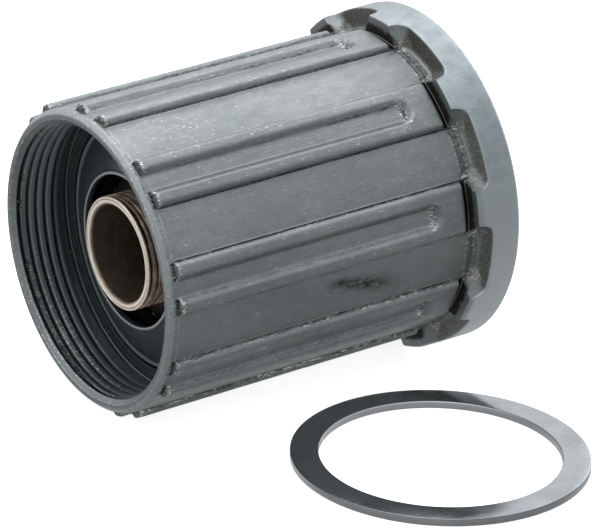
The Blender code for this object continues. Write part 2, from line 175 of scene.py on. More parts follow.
class Skin:
    """Collects rings of points, in mm, and the faces between them."""

    def __init__(self):
        self.points = []
        self.faces = []
        self.count = 0

    def ring(self, angles, radii, us):
        """Adds one ring of points and returns their numbers."""
        angles, radii, us = np.broadcast_arrays(angles, radii, us)
        self.points.append(np.stack([radii * np.cos(angles), radii * np.sin(angles), us], 1))
        self.count += len(angles)
        return np.arange(self.count - len(angles), self.count)

    def bridge(self, first, second):
        """Quads between two rings of equally many points."""
        quads = np.stack([first, np.roll(first, -1), np.roll(second, -1), second], 1)
        self.faces.extend(quads.tolist())

    def strip(self, rings, closed=False):
        """Quads along a row of rings; a closed one goes back to its first ring."""
        for first, second in zip(rings, rings[1:]):
            self.bridge(first, second)
        if closed:
            self.bridge(rings[-1], rings[0])

    def zip(self, first, first_angles, second, second_angles):
        """Triangles between two rings whose points stand at different angles."""
        def opened(ring, angles):
            turn = np.mod(angles, 2 * pi)
            order = np.argsort(turn)
            turn = np.append(turn[order], turn[order[0]] + 2 * pi)
            return np.append(ring[order], ring[order[0]]), turn

        a, a_turn = opened(first, first_angles)
        b, b_turn = opened(second, second_angles)
        i = j = 0
        while i < len(a) - 1 or j < len(b) - 1:
            if j == len(b) - 1 or (i < len(a) - 1 and a_turn[i + 1] <= b_turn[j + 1]):
                self.faces.append([a[i], a[i + 1], b[j]])
                i += 1
            else:
                self.faces.append([a[i], b[j + 1], b[j]])
                j += 1

    def helix(self, rows, per_turn):
        """Joins rows that climb by one pitch in a turn; returns both seam steps."""
        last = len(rows) - 1
        for low, high in zip(rows, rows[1:]):
            self.faces.extend(np.stack([low[:-1], low[1:], high[1:], high[:-1]], 1).tolist())
        for k in range(last - per_turn):
            low, high = rows[k], rows[k + 1]
            next_low, next_high = rows[k + per_turn], rows[k + 1 + per_turn]
            self.faces.append([low[-1], next_low[0], next_high[0], high[-1]])
        low_step = [row[0] for row in rows[1:per_turn + 1]]
        high_step = [row[-1] for row in rows[last - per_turn:last]]
        return low_step, high_step

    def cap_helix(self, rows, low_ring, high_ring, steps):
        """Joins a plain ring to each end of a helix."""
        row = rows[0]
        quads = np.stack([low_ring[:-1], low_ring[1:], row[1:], row[:-1]], 1)
        self.faces.extend(quads.tolist())
        self.faces.append([low_ring[-1], low_ring[0], row[0], *steps[0], row[-1]])
        row = rows[-1]
        quads = np.stack([row[:-1], row[1:], high_ring[1:], high_ring[:-1]], 1)
        self.faces.extend(quads.tolist())
        self.faces.append([*steps[1], row[-1], high_ring[-1], high_ring[0], row[0]])

    def local(self):
        return np.concatenate(self.points)


def finish_mesh(name, local, faces, marks=None, place=to_world):
    """Mesh from local points in mm, keeping its local place and its marks."""
    mesh = bpy.data.meshes.new(name)
    mesh.from_pydata(place(local).tolist(), [], [[int(i) for i in f] for f in faces])
    mesh.update()
    bm = bmesh.new()
    bm.from_mesh(mesh)
    bmesh.ops.recalc_face_normals(bm, faces=bm.faces)
    bm.to_mesh(mesh)
    bm.free()
    kept = mesh.attributes.new("local", "FLOAT_VECTOR", "POINT")
    kept.data.foreach_set("vector", np.asarray(local, np.float32).ravel())
    for key, values in (marks or {}).items():
        layer = mesh.attributes.new(key, "FLOAT", "POINT")
        layer.data.foreach_set("value", np.asarray(values, np.float32))
    mesh.shade_smooth()
    mesh.set_sharp_from_angle(angle=SHARP_ABOVE)
    return mesh


def piece(name, mesh, body, slot, mat, *nodes):
    """A visible piece that rides on a body and stands for CAD nodes."""
    obj = bpy.data.objects.new(name, mesh)
    bpy.context.scene.collection.objects.link(obj)
    mesh.materials.append(mat)
    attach(obj, body)
    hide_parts(*nodes)


# Most of an edge that one corner's curve may take
CURVE_SHARE = 0.45


def rounded(profile, radius, steps=3):
    """Closed (u, r) outline with a short curve at each corner, within half of its edges."""
    points = [np.array(p, float) for p in profile]
    result = []
    for k, here in enumerate(points):
        before = points[k - 1] - here
        after = points[(k + 1) % len(points)] - here
        reach_in = min(radius, np.linalg.norm(before) * CURVE_SHARE)
        reach_out = min(radius, np.linalg.norm(after) * CURVE_SHARE)
        start = here + before / np.linalg.norm(before) * reach_in
        end = here + after / np.linalg.norm(after) * reach_out
        for t in np.linspace(0.0, 1.0, steps + 1):
            result.append((1 - t) ** 2 * start + 2 * t * (1 - t) * here + t * t * end)
    return result


def turned_mesh(name, profile, count, mark=None):
    """Ring-shaped mesh from a closed (u, r) outline in mm; mark(u, r) gives its wear."""
    skin = Skin()
    angles = np.linspace(0.0, 2 * pi, count, endpoint=False)
    rings = [skin.ring(angles, r, u) for u, r in profile]
    skin.strip(rings, closed=True)
    local = skin.local()
    marks = None
    if mark:
        marks = {"wear_and_highlight": mark(local[:, 2], np.hypot(local[:, 0], local[:, 1]))}
    return finish_mesh(name, local, skin.faces, marks)


def smoothstep(x):
    """Rises from 0 to 1 between x = 0 and x = 1, level at both ends."""
    x = np.clip(x, 0.0, 1.0)
    return x * x * (3 - 2 * x)


def quarter(x):
    """Quarter of a circle: steep at 0 and level at 1."""
    x = np.clip(x, 0.0, 1.0)
    return np.sqrt(1 - (1 - x) ** 2)


def bell(x, centre, width):
    """1 at the centre, falling smoothly to nothing at about twice the width."""
    return np.exp(-((x - centre) / width) ** 2)


# Keeps the noise fields of different seeds apart
SEED_SPREAD = 2.7


def ripple(points, scale, seed):
    """Smooth noise in -1..1 at points in mm; scale may differ along x, y and u."""
    shift = Vector((seed, SEED_SPREAD * seed, -seed))
    scaled = np.asarray(points) * np.asarray(scale)
    return np.array([noise.noise(Vector(p) + shift) for p in scaled])


# Shell --------------------------------------------------------------------------

# Where the columns stand closer together: by how much, at which angle, how widely
CLOSER = ((5.5, 10.0, 0.75), (1.6, 12.2, 1.8), (2.2, 4.0, 1.6), (1.5, 7.6, 1.4), (1.2, 11.0, 1.2))


def land_angles():
    """Angles in degrees across one land and its channel, close together on the flanks."""
    fine = np.linspace(-LAND_PITCH / 2, LAND_PITCH / 2, 4001)
    weight = np.ones_like(fine)
    for extra, angle, width in CLOSER:
        weight += extra * bell(np.abs(fine), angle, width)
    total = np.concatenate([[0.0], np.cumsum((weight[1:] + weight[:-1]) / 2)])
    targets = (np.arange(OUTER_PER_LAND) + 0.5) / OUTER_PER_LAND * total[-1]
    return np.interp(targets, total, fine)


PHI = np.tile(land_angles(), LAND_COUNT)
CENTRES = np.repeat(LAND_PHASE + LAND_PITCH * np.arange(LAND_COUNT), OUTER_PER_LAND)
OUTER_ANGLES = np.radians(PHI + CENTRES)


# Crease at a land's foot and the small lip beside it: height in mm, angle and width
CREASE = (-0.07, 10.05, 0.2)
LIP = (0.05, 10.5, 0.2)
CREASE_FADE = 0.8


def land_height(phi, u):
    """Height of the grooved splines over the base, in mm."""
    a = np.abs(phi)
    flank = quarter((LAND_FOOT - a) / LAND_FLANK)
    across = np.radians(a) * (BASE_R + LAND_HEIGHT)
    reach = np.hypot(across, np.maximum(0.0, GROOVE_CENTRE_U - u))
    groove = smoothstep((GROOVE_HALF_WIDTH - reach) / GROOVE_WALL)
    start = quarter((LAND_START_U - u) / LAND_START_REACH)
    top = LAND_HEIGHT * flank * (1 - groove) + GROOVE_FLOOR * groove
    foot = sum(height * bell(a, angle, width) for height, angle, width in (CREASE, LIP))
    return top * start + foot * smoothstep((LAND_START_U - u) / CREASE_FADE)


def pocket_front():
    """How far the flange's front is cut back in each column, in mm."""
    into = np.radians(np.maximum(0.0, np.abs(PHI) - TOOTH_SIDE - POCKET_MARGIN)) * FLANGE_R
    return POCKET_DEPTH * quarter(into / POCKET_CORNER)


# The flare grows from a tooth's middle over some degrees, and fades to a pocket's middle
FLARE_RISE = 9.4
FLARE_FALL = 8.5


def flared(degrees_out):
    """Column angles with the pockets' sides moved out by some degrees."""
    a = np.abs(PHI)
    share = smoothstep(a / FLARE_RISE) * smoothstep((LAND_PITCH / 2 - a) / FLARE_FALL)
    return OUTER_ANGLES - np.sign(PHI) * np.radians(degrees_out * share)


# Rings of the flange's front, from the lands outwards.  The lip has its place and the
# share of a land's height on a tooth.  The other rings begin with their place and radius
# on a tooth.  In a pocket the floor's rings lie a share along the floor at some depth,
# those of the fillet at an angle on it and those of the wall at a radius.  The last
# number of the fillet's and the wall's rings is their flare in degrees.
LIP_RINGS = ((0.78, 1.0), (0.68, 0.93), (SLOT_U, 0.72))
FLOOR_RINGS = ((0.56, SLOT_R + 0.12, 0.22, 0.0), (0.48, SLOT_R, 0.36, 0.0),
               (0.30, SLOT_R, 0.44, 0.05), (0.20, SLOT_R, 0.58, 0.08),
               (0.10, SLOT_R, 0.72, 0.06), (0.04, SLOT_R, 0.86, 0.09),
               (0.0, SLOT_R + 0.1, 1.0, 0.07))
FILLET_RINGS = ((0.0, 16.70, 20.0, 0.0), (0.05, 16.76, 38.0, 0.1), (0.05, 16.83, 55.0, 0.25),
                (0.0, 16.89, 72.0, 0.5), (0.0, 17.15, 90.0, 1.0))
WALL_RINGS = ((0.0, 17.45, 17.40, 1.7), (0.0, 17.75, 17.70, 2.4), (0.0, 18.10, 18.05, 3.1),
              (0.0, 18.40, 18.35, 3.6), (0.0, 18.60, 18.57, 3.9),
              (0.02, 18.70, 18.69, POCKET_FLARE), (0.07, 18.77, 18.77, POCKET_FLARE),
              (0.15, FLANGE_R, FLANGE_R, POCKET_FLARE))
RIM_SHARES = (0.15, 0.4, 0.7, 1.0)

# A tooth turns into a pocket over some degrees.  The fillet swells at the pocket's
# corners, by a share, at an angle, over a width.  A tooth's face joins the cut front
# between two radii, and the wall keeps a margin to the rim.
TOOTH_BLEND = 0.35
FILLET_SWELL = (0.7, 11.3, 1.3)
FACE_CUT_R = 16.9
FACE_CUT_WIDTH = 0.3
WALL_MARGIN = 0.4


def flange_front_rings(skin):
    """Rings from the lands' end over the teeth and pockets to the rim's chamfer."""
    a = np.abs(PHI)
    channel = smoothstep((a - TOOTH_SIDE) / TOOTH_BLEND)
    height = land_height(PHI, LAND_STATIONS[-1])
    front = pocket_front()
    swell, corner, width = FILLET_SWELL
    fillet = np.minimum(POCKET_FILLET * (1 + swell * bell(a, corner, width)), front * 0.5)
    rings = []

    def blend(tooth_u, tooth_r, pocket_u, pocket_r, flare=0.0):
        u = tooth_u + (pocket_u - tooth_u) * channel
        r = tooth_r + (pocket_r - tooth_r) * channel
        rings.append(skin.ring(flared(flare), r, u))

    for u, share in LIP_RINGS:
        blend(u, BASE_R + height * share, u, BASE_R + height)
    for u, r, share, depth in FLOOR_RINGS:
        blend(u, r, SLOT_U + (fillet - front - SLOT_U) * share, BASE_R + height - depth)
    floor = BASE_R + height - FLOOR_RINGS[-1][3]
    for u, r, angle, flare in FILLET_RINGS:
        rise = radians(angle)
        cut = front * smoothstep((r - FACE_CUT_R) / FACE_CUT_WIDTH)
        blend(u - cut, r, fillet * (1 - sin(rise)) - front, floor + fillet * (1 - cos(rise)), flare)
    for back, tooth_r, wall_r, flare in WALL_RINGS:
        wall = np.maximum(wall_r, np.minimum(floor + fillet, FLANGE_R - WALL_MARGIN))
        blend(-front - back, tooth_r, -front - back, wall, flare)
    edge = -front - WALL_RINGS[-1][0]
    for share in RIM_SHARES:
        rings.append(skin.ring(flared(POCKET_FLARE * (1 - share)), FLANGE_R,
                               edge + (FLANGE_CHAMFER_U - edge) * share))
    return rings


# Outlines in (u, r) and the places of the lands' rings
MOUTH_PROFILE = ((37.45, 15.44), (MOUTH_U, 15.5), (MOUTH_U, 15.75), (MOUTH_U, 15.98),
                 (37.46, 16.06), (37.2, 16.3), (37.1, 16.4), (37.0, 16.47), (36.9, BASE_R))
BACK_PROFILE = ((-5.02, 18.77), (-5.33, 18.53), (FLANGE_BACK_U, 18.42))
LAND_STATIONS = (36.8, 36.65, 36.56, 36.5, LAND_START_U, 36.435, 36.40, 36.35, 36.28, 36.2,
                 36.08, 35.95, 35.8, 35.6, 35.2, 34.6, 33.7, *np.linspace(32.5, 7.5, 15),
                 6.6, 6.0, 5.6, 5.3, 5.0, 4.8, 4.6, 4.4, 4.2, 4.0, 3.8, 3.6, 3.4, 3.1, 2.6,
                 2.0, 1.4, 1.0)


def shell_outer_rings(skin):
    """Rings from the mouth's end face over the splines to the flange's back face."""
    rings = [skin.ring(OUTER_ANGLES, r, u) for u, r in MOUTH_PROFILE]
    rings += [skin.ring(OUTER_ANGLES, BASE_R + land_height(PHI, u), u) for u in LAND_STATIONS]
    rings += flange_front_rings(skin)
    rings += [skin.ring(OUTER_ANGLES, r, u) for u, r in BACK_PROFILE]
    return rings


# Where a tooth's ramp ends and its last two columns stand, as shares of the tooth.  The
# steep face follows them.
RATCHET_RAMP = 0.94
RATCHET_LAST_COLUMNS = (0.97, 0.988)


def ratchet_columns():
    """Angles of the inner columns and the radius of the ratchet teeth there."""
    before, last = RATCHET_LAST_COLUMNS
    share = np.append(np.linspace(0.0, before, INNER_PER_TOOTH - 1), last)
    heel_to_face = radians(PAWL_HEEL_BEHIND + PAWL_TIP_AHEAD + PAWL_TIP_GAP)
    steep = angle_of(JOINTS["pawl_1_swing"]["pos_m"]) + heel_to_face
    tooth = np.repeat(np.arange(RATCHET_TEETH), INNER_PER_TOOTH)
    share = np.tile(share, RATCHET_TEETH)
    angles = steep + 2 * pi / RATCHET_TEETH * (tooth + share)
    rise = np.minimum(share / RATCHET_RAMP, 1.0)
    return angles, RATCHET_TIP_R + (RATCHET_ROOT_R - RATCHET_TIP_R) * rise


# The inboard race's arc, in degrees from straight out
RACE_START = -60.0
RACE_SWEEP = 60.0
RACE_STEPS = 7


def race_points():
    """(u, r) points along the inboard ball race."""
    angles = np.radians(RACE_START + RACE_SWEEP * np.arange(RACE_STEPS + 1) / RACE_STEPS)
    return [(INBOARD_ROW_U + RACE_R * sin(a), BALL_PITCH_R + RACE_R * cos(a)) for a in angles]


# One turn of thread: share of the pitch, and depth from the crest as a share.  It grows
# to full depth over some turns at its low end, and is squeezed and cut at the other end
# within shares of the pitch.
THREAD_GROWTH = 0.7
THREAD_SQUEEZE = 0.4
THREAD_CUT = 0.2
THREAD_FORM = ((0.0, 0.06), (0.04, 0.0), (0.28, 0.0), (0.52, 0.0), (0.57, 0.06), (0.70, 0.95),
               (0.80, 1.0), (0.88, 0.94))

# Chamfer between the thread and the mouth, in (u, r)
LEAD_IN = ((36.87, 15.38), (36.89, 15.12), (36.93, 15.0), (36.99, 14.97), (37.06, 15.02),
           (37.38, 15.33))


def thread_rows(skin, angles, low_u, turns, pitch, crest_r, root_r, end_u):
    """Rows of a thread that fades in at its low end and is cut off square at end_u."""
    turn = (angles - angles[0]) / (2 * pi)
    knee = end_u - THREAD_SQUEEZE * pitch
    squeeze = (end_u - knee) / (low_u + pitch * (turns + 1) - knee)
    rows = []
    for k in range(turns * len(THREAD_FORM) + 1):
        share, depth = THREAD_FORM[k % len(THREAD_FORM)]
        climb = k // len(THREAD_FORM) + share + turn
        u = low_u + pitch * climb
        cut = depth * smoothstep(climb / THREAD_GROWTH)
        crest = (1 - cut) * smoothstep((end_u - u) / (THREAD_CUT * pitch))
        radii = root_r + (crest_r - root_r) * crest
        rows.append(skin.ring(angles, radii, np.where(u < knee, u, knee + (u - knee) * squeeze)))
    return rows


# The shell's inside, in (u, r): the seal's recess below the ball race, and above the
# ratchet the bore, the cup's seat and the groove under the thread.  The groove's wall
# has close points beside its turning lines.
RECESS_PROFILE = [(FLANGE_BACK_U, 12.75), (-5.35, 12.65), (-5.2, 12.6), (-4.36, 12.6),
                  (-4.3, 12.52), (-4.3, 12.0), (-4.22, 11.9)]
RACE_TOP = (1.45, 12.74)
RELIEF_U = 30.5
TURNING_LINES = (14.55, 14.9, 15.25)
BORE_PROFILE = [(8.0, BORE_R), (24.0, BORE_R), (24.1, 12.3), (24.1, 13.7), (24.2, 13.75),
                (30.44, 13.75), (RELIEF_U, 13.85), (RELIEF_U, 14.48), (RELIEF_U, 14.55),
                (RELIEF_U, 14.62), (RELIEF_U, 14.83), (RELIEF_U, 14.9), (RELIEF_U, 14.97),
                (RELIEF_U, 15.16), (RELIEF_U, 15.25), (30.6, 15.36), (30.9, 15.36),
                (31.02, 15.25), (31.12, 14.95), (THREAD_LOW_U, THREAD_MINOR_R)]


def shell_inner_rings(skin, angles, tooth):
    """Rings from the flange's back face through the bore to the thread."""
    low = RECESS_PROFILE + race_points() + [RACE_TOP]
    rings = [skin.ring(angles, r, u) for u, r in low]
    rings += [skin.ring(angles, tooth, u) for u in (RATCHET_LOW_U, RATCHET_TOP_U)]
    return rings + [skin.ring(angles, r, u) for u, r in BORE_PROFILE]


def shell_view(local):
    """Radius, angle from the nearest land, place along the axis and whole angle, in degrees."""
    x, y, u = local.T
    angle = np.degrees(np.arctan2(y, x))
    phi = (angle - LAND_PHASE + LAND_PITCH / 2) % LAND_PITCH - LAND_PITCH / 2
    return np.hypot(x, y), phi, u, angle


# Limits that the roughness and the marks share: the radius that parts the outside from
# the inside, a land's crest and flank in degrees from its middle, and the splines' ends
OUTSIDE_R = 15.9
CREST_EDGE = 9.6
LAND_EDGE = 9.9
SPLINE_LOW_U = 1.0
SPLINE_TOP_U = 36.2


def roughen_shell(local):
    """Nicks at the spline ends, burrs at the pocket corners and uneven crests."""
    r, phi, u, _ = shell_view(local)
    a = np.abs(phi)
    outside = r > OUTSIDE_R
    fine = ripple(local, 2.6, 5.0)
    finer = ripple(local, 6.0, 15.0)
    fibre = ripple(local, (3.5, 3.5, 0.9), 8.0)
    coarse = ripple(local, 0.9, 1.0)
    start = bell(u, 36.28, 0.32) * (a > 3.0) * (a < LAND_EDGE)
    pocket = (a > CREST_EDGE) * smoothstep((0.1 - u) / 0.2) * smoothstep((u + 1.7) / 0.3)
    pocket = pocket * (r < 17.2)
    corner = bell(a, 11.0, 1.3) * bell(u, -0.4, 0.8)
    pit = (a < 5.0) * bell(u, 4.0, 0.6)
    crest = (a > 5.2) * (a < CREST_EDGE) * (u > SPLINE_LOW_U) * (u < 36.0)
    foot = bell(a, 10.1, 0.35) * (u > SPLINE_LOW_U) * (u < SPLINE_TOP_U)
    push = 0.2 * start * np.minimum(fine + 0.5 * finer, 0.1) + 0.1 * corner * fibre
    push += 0.10 * pocket * (fibre + 0.7 * finer) + 0.18 * pit * np.minimum(fine + finer, 0.1)
    push += (0.035 * coarse + 0.03 * np.minimum(fine, 0.1)) * crest + 0.055 * foot * finer
    limit = np.where(u > 0.5, BASE_R + LAND_HEIGHT, FLANGE_R)
    pushed = np.where(outside, np.minimum(r + push, np.maximum(limit, r)), r)
    scale = pushed / r
    return local * np.stack([scale, scale, np.ones_like(scale)], 1)


def shell_marks(local):
    """Where the steel is dirty, where shade is painted, where it is bare, where highlights are
    painted, and which part each point belongs to.
    """
    r, phi, u, angle = shell_view(local)
    turn = (angle + 360.0) % 360.0
    a = np.abs(phi)
    outside = r > OUTSIDE_R
    mottle = 0.5 + 0.5 * ripple(local, 1.3, 3.0)
    fine = 0.5 + 0.5 * ripple(local, 3.6, 9.0)
    fibre = 0.5 + 0.5 * ripple(local, (4.5, 4.5, 1.0), 4.0)

    # Black on the teeth's faces by the slots, partly grease and partly painted shade in the
    # slots; painted shade on the upper pockets' walls; darker in the thread, at its deep end
    # and in the relief groove; none on the turned lines
    on_tooth = outside * (a < 9.8)
    # Partly grease, partly painted shade in the slot in front of each tooth
    face = on_tooth * smoothstep((0.6 - u) / 0.1) * smoothstep((u + 0.04) / 0.03)
    face = face * smoothstep((17.75 + 0.5 * mottle - r) / 0.25)
    line = on_tooth * (u < 0.1) * (u > 0.02) * bell(r, 16.8, 0.06)
    in_pocket = outside * (a > 9.4) * smoothstep((-0.2 - u) / 0.3) * (u > -2.0)
    wall = in_pocket * smoothstep((r - 16.58) / 0.2) * smoothstep((18.82 - r) / 0.12)
    thread = (~outside) * smoothstep((r - 15.0) / 0.15) * (u > 30.9) * (u < 36.9)
    thread_end = (~outside) * bell(u, 31.5, 0.5) * 0.5
    relief = (~outside) * (u > 24.0) * (u < 31.1) * (r > 13.0) * 0.75
    # Painted shade: the pockets' walls darker on the upper side
    shaded_high_wall = wall * smoothstep((angle - 45.0) / 20.0) * 0.5
    rings = sum(bell(r, at, 0.03) for at in TURNING_LINES)
    rings = (~outside) * (rings * (np.abs(u - RELIEF_U) < 0.05) + bell(u, 31.14, 0.03)) * 0.8
    grime_and_shade = np.maximum.reduce([face, thread, thread_end, relief, shaded_high_wall])
    grime_and_shade = grime_and_shade * (1 - line) * (1 - rings)

    # Fibrous crud at the splines' ends, in the grooves' ends and along the lands' feet, partly
    # painted shade on the splines' steep ends, and painted shadow lines along the grooves' flanks
    cut = (a > 3.0) * (a < LAND_EDGE) * (u < 36.8)
    along = outside * (u > SPLINE_LOW_U) * (u < SPLINE_TOP_U)
    # Crud and painted shade on the splines' steep ends
    nose = bell(u, 36.56, 0.2) * cut * 1.5
    reach = np.hypot(np.radians(a) * 17.0, np.minimum(0.0, u - GROOVE_CENTRE_U))
    pit = smoothstep((1.25 - reach) / 0.4) * bell(u, 4.15, 0.35)
    foot = bell(a + 0.7 * (fibre - 0.5), 10.05, 0.28) * smoothstep((fine - 0.15) / 0.3)
    # Painted shadow lines along both flanks of each groove
    gutter_shadow = bell(phi, -3.7, 0.45) * (u > 5.0) * smoothstep((fine - 0.2) / 0.3) * 0.5
    brow_shadow = bell(phi, 3.6, 0.4) * (u > 4.0) * smoothstep((mottle - 0.35) / 0.3)
    brow_shadow = brow_shadow * (0.65 + 0.5 * bell(u, 10.0, 5.0))
    edge_dirt = outside * bell(u, 36.92, 0.09) * smoothstep((mottle - 0.52) / 0.15) * 0.8
    floor = outside * (a > 9.8) * bell(u, -0.6, 0.3) * (r < 17.0) * 0.75
    slot_lip = outside * (a < 9.8) * bell(u, SLOT_U, 0.07) * 0.5
    crud_and_shadow = np.maximum.reduce([nose, pit, along * foot, along * gutter_shadow, along * brow_shadow, floor,
                              slot_lip, edge_dirt])

    # Bare metal on the edges and the polished rim, and painted highlights along the pocket
    # rims, the flange's back bevel, the flange's lower side and the thread's upper crests
    rim = outside * smoothstep((u - 36.9) / 0.1) * 0.3
    step = outside * (a > 10.2) * bell(u, 36.42, 0.06) * smoothstep((mottle - 0.3) / 0.3) * 0.4
    # Worn pocket rims, with a painted highlight line along them
    edge = outside * bell(r, 18.74, 0.05) * (u < 0.1) * (u > -2.2) * 0.7
    lip = along * bell(a, 10.5, 0.16) * 0.3 * smoothstep((fibre - 0.3) / 0.3)
    # Painted highlight along the flange's back bevel
    bevel_highlight = outside * bell(u, -5.2, 0.16)
    on_rim = outside * smoothstep((r - 18.6) / 0.1)
    # Painted reflection: the flange's rim turns paler on its lower side
    below = smoothstep((35.0 - angle) / 60.0) * (angle > -120.0)
    polish_and_low_sheen = on_rim * smoothstep((-0.3 - u) / 0.3) * (0.03 + 0.95 * below)
    on_crest = (~outside) * smoothstep((15.0 - r) / 0.08) * (u > 32.3)
    # Painted highlight on the thread's crests on its upper side
    crest_highlight = on_crest * bell(turn, 140.0, 60.0) * 0.7
    wear_and_highlight = np.maximum.reduce([rim, step, edge, lip, line, bevel_highlight, polish_and_low_sheen, crest_highlight, rings])

    # Bright specks on crests, burrs and sills, and painted glints on the thread's crests
    crest = along * bell(a, 7.4, 1.6) * 0.28
    chewed = along * bell(phi, 9.8, 0.35) * smoothstep((mottle - 0.3) / 0.3)
    burr = outside * bell(a, 11.0, 1.6) * bell(u, -0.7, 0.7)
    sill = np.maximum(bell(u, -0.05, 0.16), bell(u, -1.0, 0.22))
    sill = outside * (a > CREST_EDGE) * (r < 16.95) * sill
    speck = (a < 5.0) * outside * bell(u, 4.5, 0.45)
    dots = bell(u, 36.2, 0.3) * cut
    mouth = bell(u, 37.45, 0.08) * (bell(r, 15.47, 0.08) + bell(r, 16.03, 0.1)) * 0.9
    collar = outside * (u > 36.55) * 0.3
    scuffs = along * (a > 10.5) * bell(turn, 70.0, 6.0) * bell(u, 30.0, 5.0) * 0.4
    # Painted glints on the thread's crests, strongest on its lower side
    low = 0.15 + 0.7 * bell(turn, 235.0, 35.0)
    thread_glints = (~outside) * smoothstep((u - 33.2) / 0.8) * smoothstep((15.12 - r) / 0.1) * low
    specks_and_glints = np.maximum.reduce([crest, chewed, burr, sill, speck, dots, mouth, collar, scuffs,
                                thread_glints, 0.75 * wall - shaded_high_wall])

    # One black stain across a channel, slanting and widening towards the flange
    aside = (angle + 5.6 - (u - 16.9)) / (1.5 + 0.3 * np.maximum(0.0, 16.9 - u))
    left = smoothstep((17.7 + 0.6 * fine - u) / 0.4)
    stain = outside * left * np.exp(-((u - 15.2) / 5.4) ** 4) * np.exp(-aside ** 2)
    return {
        "grime_and_shade": np.clip(grime_and_shade, 0, 1),
        "crud_and_shadow": np.clip(crud_and_shadow, 0, 1.5),
        "wear_and_highlight": np.clip(wear_and_highlight, 0, 1),
        "specks_and_glints": np.clip(specks_and_glints, 0, 1),
        "stain": np.clip(stain, 0, 1),
        "inner": (~outside) * smoothstep((37.02 - u) / 0.06),
        "flange": on_rim * smoothstep(-u / 0.2),
        "pocket": np.clip(wall, 0, 1),
    }


def make_shell(mat):
    """The splined shell: one closed skin with the thread cut inside its mouth."""
    skin = Skin()
    outer = shell_outer_rings(skin)
    angles, tooth = ratchet_columns()
    inner = shell_inner_rings(skin, angles, tooth)
    skin.strip(outer)
    skin.strip(inner)
    skin.zip(outer[-1], OUTER_ANGLES, inner[0], angles)
    first = int(np.argmax(np.cos(angles - THREAD_SEAM)))
    turned = np.unwrap(np.roll(angles, -first))
    rows = thread_rows(skin, turned, THREAD_LOW_U, THREAD_TURNS, THREAD_PITCH,
                       THREAD_MINOR_R, THREAD_MAJOR_R, THREAD_END_U)
    lead = [skin.ring(turned, r, u) for u, r in LEAD_IN]
    steps = skin.helix(rows, len(THREAD_FORM))
    skin.cap_helix(rows, np.roll(inner[-1], -first), lead[0], steps)
    skin.strip(lead)
    skin.zip(lead[-1], turned, outer[0], OUTER_ANGLES)
    local = roughen_shell(skin.local())
    mesh = finish_mesh("shell_skin", local, skin.faces, shell_marks(local))
    piece("shell_fine", mesh, "shell", "shell_steel", mat, "freehub_body")


# Materials ----------------------------------------------------------------------

RANGE_INPUTS = ("From Min", "From Max", "To Min", "To Max")


class Nodes:
    """Small helper that adds and links shader nodes."""

    def __init__(self, name):
        self.material = bpy.data.materials.new(name)
        self.material.use_nodes = True
        self.tree = self.material.node_tree
        self.shader = self.tree.nodes["Principled BSDF"]

    def add(self, kind, **settings):
        """A new node with some of its properties set."""
        node = self.tree.nodes.new(kind)
        for key, value in settings.items():
            setattr(node, key, value)
        return node

    def link(self, source, target):
        self.tree.links.new(source, target)

    def attribute(self, name, output="Fac"):
        return self.add("ShaderNodeAttribute", attribute_name=name).outputs[output]

    def place(self, scale):
        """The point's local place in mm, scaled by a vector."""
        node = self.add("ShaderNodeVectorMath", operation="MULTIPLY")
        self.link(self.attribute("local", "Vector"), node.inputs[0])
        node.inputs[1].default_value = scale
        return node.outputs["Vector"]

    def noise(self, scale, detail, roughness=0.55, distortion=0.0):
        """Noise over the point's local place; the scale is in waves per mm along x, y, u."""
        node = self.add("ShaderNodeTexNoise")
        node.inputs["Scale"].default_value = 1.0
        node.inputs["Detail"].default_value = detail
        node.inputs["Roughness"].default_value = roughness
        node.inputs["Distortion"].default_value = distortion
        self.link(self.place(scale), node.inputs["Vector"])
        return node.outputs["Fac"]

    def ramp(self, value, low, high, start=0.0, end=1.0):
        """Maps low..high onto start..end, smoothly."""
        node = self.add("ShaderNodeMapRange", interpolation_type="SMOOTHSTEP")
        for name, number in zip(RANGE_INPUTS, (low, high, start, end)):
            node.inputs[name].default_value = number
        self.link(value, node.inputs["Value"])
        return node.outputs["Result"]

    def math(self, operation, first, second):
        """Joins two values, each a socket or a number."""
        node = self.add("ShaderNodeMath", operation=operation)
        for socket, value in zip(node.inputs, (first, second)):
            if isinstance(value, (int, float)):
                socket.default_value = value
            else:
                self.link(value, socket)
        return node.outputs["Value"]

    def mix(self, factor, first, second):
        """Mixes two colours, each a socket or an (r, g, b)."""
        node = self.add("ShaderNodeMix", data_type="RGBA")
        self.link(factor, node.inputs["Factor"])
        for index, value in ((6, first), (7, second)):
            if isinstance(value, tuple):
                node.inputs[index].default_value = (*value, 1.0)
            else:
                self.link(value, node.inputs[index])
        return node.outputs[2]

    def bump(self, height, strength, distance):
        """Bends the shader's normal by a height; the distance is in metres."""
        node = self.add("ShaderNodeBump")
        node.inputs["Strength"].default_value = strength
        node.inputs["Distance"].default_value = distance
        self.link(height, node.inputs["Height"])
        self.link(node.outputs["Normal"], self.shader.inputs["Normal"])

    def set(self, **values):
        """Sets the shader's inputs, named with _ for a space, to sockets or numbers."""
        for key, value in values.items():
            socket = self.shader.inputs[key.replace("_", " ")]
            if isinstance(value, (int, float)):
                socket.default_value = value
            else:
                self.link(value, socket)


